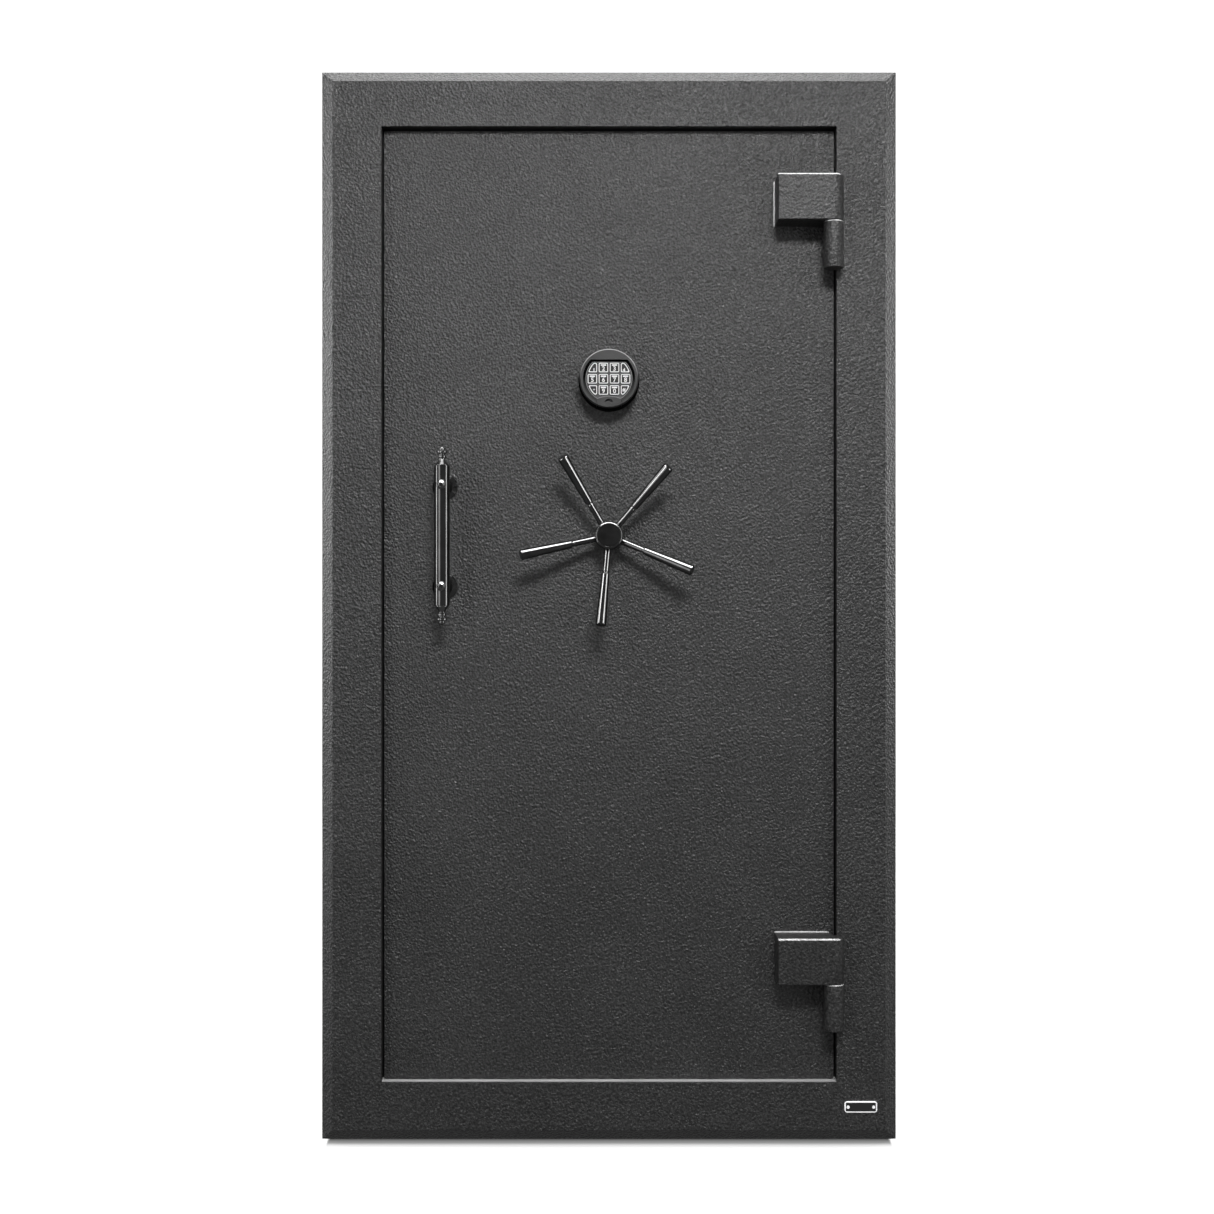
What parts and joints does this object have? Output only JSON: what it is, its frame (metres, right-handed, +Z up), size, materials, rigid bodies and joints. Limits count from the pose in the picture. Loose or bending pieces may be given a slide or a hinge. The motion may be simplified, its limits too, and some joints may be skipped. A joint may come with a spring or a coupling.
{
  "type": "gun safe",
  "caption": "Upright steel gun safe with a recessed hinged door, rack-driven locking bolts, spoked handle, electronic keypad, pull handle and shelved carpeted interior.",
  "frame": {"origin": "centre of the cabinet's footprint, on the floor", "axes": "+X to the right seen from the front, +Y towards the back, +Z up"},
  "size_m": [0.82, 0.6576, 1.524],
  "materials": {
    "textured_paint": "satin",
    "jamb_paint": "satin",
    "black_chrome": "polished",
    "hub_black": "satin",
    "pad_plastic": "satin",
    "key_rubber": "matte",
    "seal_rubber": "matte",
    "bolt_steel": "polished",
    "plated_steel": "satin",
    "bronze": "satin",
    "fireboard": "matte",
    "carpet": "matte",
    "carpet_board": "matte",
    "silver_plate": "satin",
    "lock_case_zinc": "satin",
    "battery_jacket": "gloss",
    "cable_rubber": "matte"
  },
  "bodies": {
    "body": {"body_side_walls": "textured_paint", "body_top_wall": "textured_paint", "body_bottom_plate": "textured_paint", "body_back_wall": "textured_paint", "front_frame": "textured_paint", "door_jamb": "jamb_paint", "door_seal": "seal_rubber", "fireboard_lining": "fireboard", "carpet_lining": "carpet", "top_shelf": "carpet_board", "center_divider": "carpet_board", "side_shelves": "carpet_board", "barrel_rest": "carpet_board", "shelf_clips": "plated_steel", "name_plate": "silver_plate", "hinge_barrels": "textured_paint", "hinge_pins": "plated_steel"},
    "door": {"hinge_blocks": "textured_paint", "door_plate": "textured_paint", "door_pan": "jamb_paint", "door_fireboard": "fireboard", "boltwork_plate": "jamb_paint", "door_cover_panel": "carpet_board", "door_screws": "plated_steel", "spindle_bushing": "bronze", "rack_guides": "plated_steel", "lock_case": "lock_case_zinc", "lock_cover": "lock_case_zinc", "keypad_cable": "cable_rubber", "keypad_housing": "pad_plastic", "pull_bar": "black_chrome", "pull_finials": "black_chrome", "pull_standoffs": "black_chrome", "pull_screws": "black_chrome"},
    "handle": {"handle_hub": "hub_black", "handle_spokes": "black_chrome", "pinion_shaft": "plated_steel"},
    "left_bolts": {"left_bolts": "bolt_steel", "left_bolt_bar": "plated_steel"},
    "right_bolts": {"right_bolts": "bolt_steel", "right_bolt_bar": "plated_steel"},
    "top_bolts": {"top_bolts": "bolt_steel", "top_bolt_bar": "plated_steel"},
    "bottom_bolts": {"bottom_bolts": "bolt_steel", "bottom_bolt_bar": "plated_steel"},
    "lock_bolt": {"lock_bolt": "plated_steel"},
    "battery_drawer": {"battery_drawer": "pad_plastic", "battery": "battery_jacket"},
    "key_1": {"key_1": "key_rubber"},
    "key_2": {"key_2": "key_rubber"},
    "key_3": {"key_3": "key_rubber"},
    "key_4": {"key_4": "key_rubber"},
    "key_5": {"key_5": "key_rubber"},
    "key_6": {"key_6": "key_rubber"},
    "key_7": {"key_7": "key_rubber"},
    "key_8": {"key_8": "key_rubber"},
    "key_star": {"key_star": "key_rubber"},
    "key_9": {"key_9": "key_rubber"},
    "key_0": {"key_0": "key_rubber"},
    "key_hash": {"key_hash": "key_rubber"}
  },
  "joints": [
    {"name": "door_swing", "type": "hinge", "parent": "body", "child": "door", "pos_m": [0.3165, -0.32, 0], "axis": [0, 0, 1], "range_deg": [0, 170]},
    {"name": "handle_turn", "type": "hinge", "parent": "door", "child": "handle", "pos_m": [0, -0.32, 0.8605], "axis": [0, -1, 0], "range_deg": [0, 90]},
    {"name": "left_bolts_slide", "type": "slide", "parent": "door", "child": "left_bolts", "axis": [-1, 0, 0], "range_m": [0, 0.0393]},
    {"name": "right_bolts_slide", "type": "slide", "parent": "door", "child": "right_bolts", "axis": [1, 0, 0], "range_m": [0, 0.0393]},
    {"name": "top_bolts_slide", "type": "slide", "parent": "door", "child": "top_bolts", "axis": [0, 0, 1], "range_m": [0, 0.0393]},
    {"name": "bottom_bolts_slide", "type": "slide", "parent": "door", "child": "bottom_bolts", "axis": [0, 0, -1], "range_m": [0, 0.0393]},
    {"name": "lock_bolt_slide", "type": "slide", "parent": "door", "child": "lock_bolt", "axis": [1, 0, 0], "range_m": [0, 0.0125]},
    {"name": "battery_drawer_slide", "type": "slide", "parent": "door", "child": "battery_drawer", "axis": [0, 0, -1], "range_m": [0, 0.045]},
    {"name": "key_1_press", "type": "slide", "parent": "door", "child": "key_1", "axis": [0, 1, 0], "range_m": [0, 0.0009], "stiffness_N_per_m": 1500},
    {"name": "key_2_press", "type": "slide", "parent": "door", "child": "key_2", "axis": [0, 1, 0], "range_m": [0, 0.0009], "stiffness_N_per_m": 1500},
    {"name": "key_3_press", "type": "slide", "parent": "door", "child": "key_3", "axis": [0, 1, 0], "range_m": [0, 0.0009], "stiffness_N_per_m": 1500},
    {"name": "key_4_press", "type": "slide", "parent": "door", "child": "key_4", "axis": [0, 1, 0], "range_m": [0, 0.0009], "stiffness_N_per_m": 1500},
    {"name": "key_5_press", "type": "slide", "parent": "door", "child": "key_5", "axis": [0, 1, 0], "range_m": [0, 0.0009], "stiffness_N_per_m": 1500},
    {"name": "key_6_press", "type": "slide", "parent": "door", "child": "key_6", "axis": [0, 1, 0], "range_m": [0, 0.0009], "stiffness_N_per_m": 1500},
    {"name": "key_7_press", "type": "slide", "parent": "door", "child": "key_7", "axis": [0, 1, 0], "range_m": [0, 0.0009], "stiffness_N_per_m": 1500},
    {"name": "key_8_press", "type": "slide", "parent": "door", "child": "key_8", "axis": [0, 1, 0], "range_m": [0, 0.0009], "stiffness_N_per_m": 1500},
    {"name": "key_star_press", "type": "slide", "parent": "door", "child": "key_star", "axis": [0, 1, 0], "range_m": [0, 0.0009], "stiffness_N_per_m": 1500},
    {"name": "key_9_press", "type": "slide", "parent": "door", "child": "key_9", "axis": [0, 1, 0], "range_m": [0, 0.0009], "stiffness_N_per_m": 1500},
    {"name": "key_0_press", "type": "slide", "parent": "door", "child": "key_0", "axis": [0, 1, 0], "range_m": [0, 0.0009], "stiffness_N_per_m": 1500},
    {"name": "key_hash_press", "type": "slide", "parent": "door", "child": "key_hash", "axis": [0, 1, 0], "range_m": [0, 0.0009], "stiffness_N_per_m": 1500}
  ],
  "couplings": [
    {"joint": "left_bolts_slide", "follows": "handle_turn", "m_per_rad": 0.025},
    {"joint": "right_bolts_slide", "follows": "handle_turn", "m_per_rad": 0.025},
    {"joint": "top_bolts_slide", "follows": "handle_turn", "m_per_rad": 0.025},
    {"joint": "bottom_bolts_slide", "follows": "handle_turn", "m_per_rad": 0.025}
  ]
}
